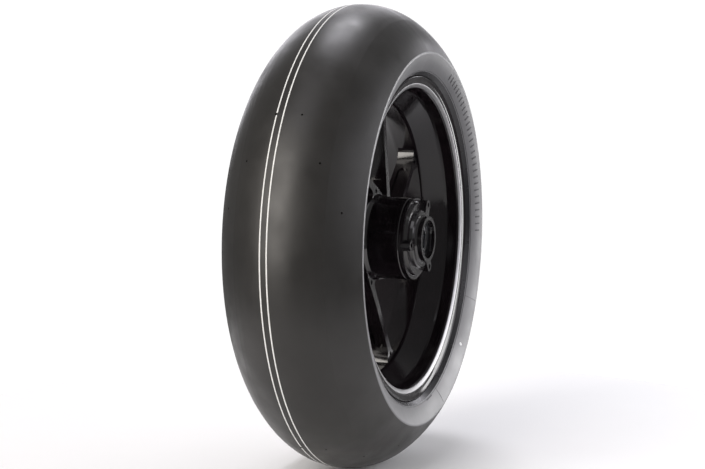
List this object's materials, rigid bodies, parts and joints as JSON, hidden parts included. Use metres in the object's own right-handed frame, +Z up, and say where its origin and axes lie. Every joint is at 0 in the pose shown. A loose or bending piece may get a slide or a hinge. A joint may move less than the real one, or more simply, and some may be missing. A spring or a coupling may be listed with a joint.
{
  "type": "motorcycle rear tyre and wheel",
  "caption": "Wide slick rear tyre on a forged wheel with slim tangential spokes, sealed ball bearings and a clamp-in valve.",
  "frame": {"origin": "centre of the wheel, on its axis and in the tyre's centre plane", "axes": "+Y along the wheel's axis away from the brake disc side, +Z up"},
  "size_m": [0.666, 0.2022, 0.6659],
  "materials": {
    "tread_rubber": "satin charcoal slick rubber",
    "sidewall_rubber": "smooth moulded rubber with a soft grey sheen",
    "chafer_rubber": "dark matte rubber",
    "textile_ply": "rubber coated cord",
    "liner_rubber": "smooth matte rubber",
    "steel_cord": "brass plated steel wire",
    "belt_cord": "steel cords wound side by side in rubber",
    "black_gloss_paint": "gloss black paint over forged aluminium",
    "bearing_steel": "ground bearing steel",
    "seal_rubber": "black moulded rubber",
    "cage_plastic": "natural moulded nylon",
    "bare_aluminium": "machined bare metal",
    "black_spring_steel": "phosphated spring steel",
    "plated_steel": "zinc plated steel",
    "brass": "turned brass",
    "cap_plastic": "black moulded plastic"
  },
  "bodies": {
    "axle_side": {"bearing_inner_race_near": "bearing_steel", "bearing_inner_race_far": "bearing_steel", "bearing_spacer": "bare_aluminium"},
    "wheel": {"tread_cap": "tread_rubber", "zero_degree_belt": "belt_cord", "carcass_ply": "textile_ply", "inner_liner": "liner_rubber", "sidewall_near": "sidewall_rubber", "chafer_near": "chafer_rubber", "bead_cable_near": "steel_cord", "bead_filler_near": "liner_rubber", "sidewall_far": "sidewall_rubber", "chafer_far": "chafer_rubber", "bead_cable_far": "steel_cord", "bead_filler_far": "liner_rubber", "rim": "black_gloss_paint", "hub": "black_gloss_paint", "spoke_1": "black_gloss_paint", "spoke_2": "black_gloss_paint", "spoke_3": "black_gloss_paint", "spoke_4": "black_gloss_paint", "spoke_5": "black_gloss_paint", "spoke_6": "black_gloss_paint", "spoke_7": "black_gloss_paint", "bearing_outer_race_near": "bearing_steel", "bearing_shield_outboard_near": "seal_rubber", "bearing_shield_inboard_near": "seal_rubber", "bearing_outer_race_far": "bearing_steel", "bearing_shield_outboard_far": "seal_rubber", "bearing_shield_inboard_far": "seal_rubber", "bearing_circlip": "black_spring_steel", "valve_stem": "bare_aluminium", "valve_grommet": "seal_rubber", "valve_washer": "plated_steel", "valve_nut": "plated_steel", "valve_core": "brass", "valve_spring": "plated_steel"},
    "cage_near": {"bearing_cage_near": "cage_plastic", "bearing_balls_near": "bearing_steel"},
    "cage_far": {"bearing_cage_far": "cage_plastic", "bearing_balls_far": "bearing_steel"},
    "valve_cap": {"valve_cap": "cap_plastic"},
    "valve_pin": {"valve_pin": "brass"}
  },
  "joints": [
    {"name": "wheel_spin", "type": "hinge", "parent": "axle_side", "child": "wheel", "pos_m": [0, 0, 0], "axis": [0, 1, 0], "continuous": true},
    {"name": "cage_near_spin", "type": "hinge", "parent": "axle_side", "child": "cage_near", "pos_m": [0, -0.0855, 0], "axis": [0, 1, 0], "continuous": true},
    {"name": "cage_far_spin", "type": "hinge", "parent": "axle_side", "child": "cage_far", "pos_m": [0, 0.0735, 0], "axis": [0, 1, 0], "continuous": true},
    {"name": "valve_cap_off", "type": "slide", "parent": "wheel", "child": "valve_cap", "axis": [0.9397, 0, -0.342], "range_m": [0, 0.012]},
    {"name": "valve_pin_press", "type": "slide", "parent": "wheel", "child": "valve_pin", "axis": [-0.9397, 0, 0.342], "range_m": [0, 0.001], "stiffness_N_per_m": 400, "springref_m": -0.001}
  ],
  "couplings": [
    {"joint": "cage_near_spin", "follows": "wheel_spin", "ratio": 0.584},
    {"joint": "cage_far_spin", "follows": "wheel_spin", "ratio": 0.584}
  ]
}
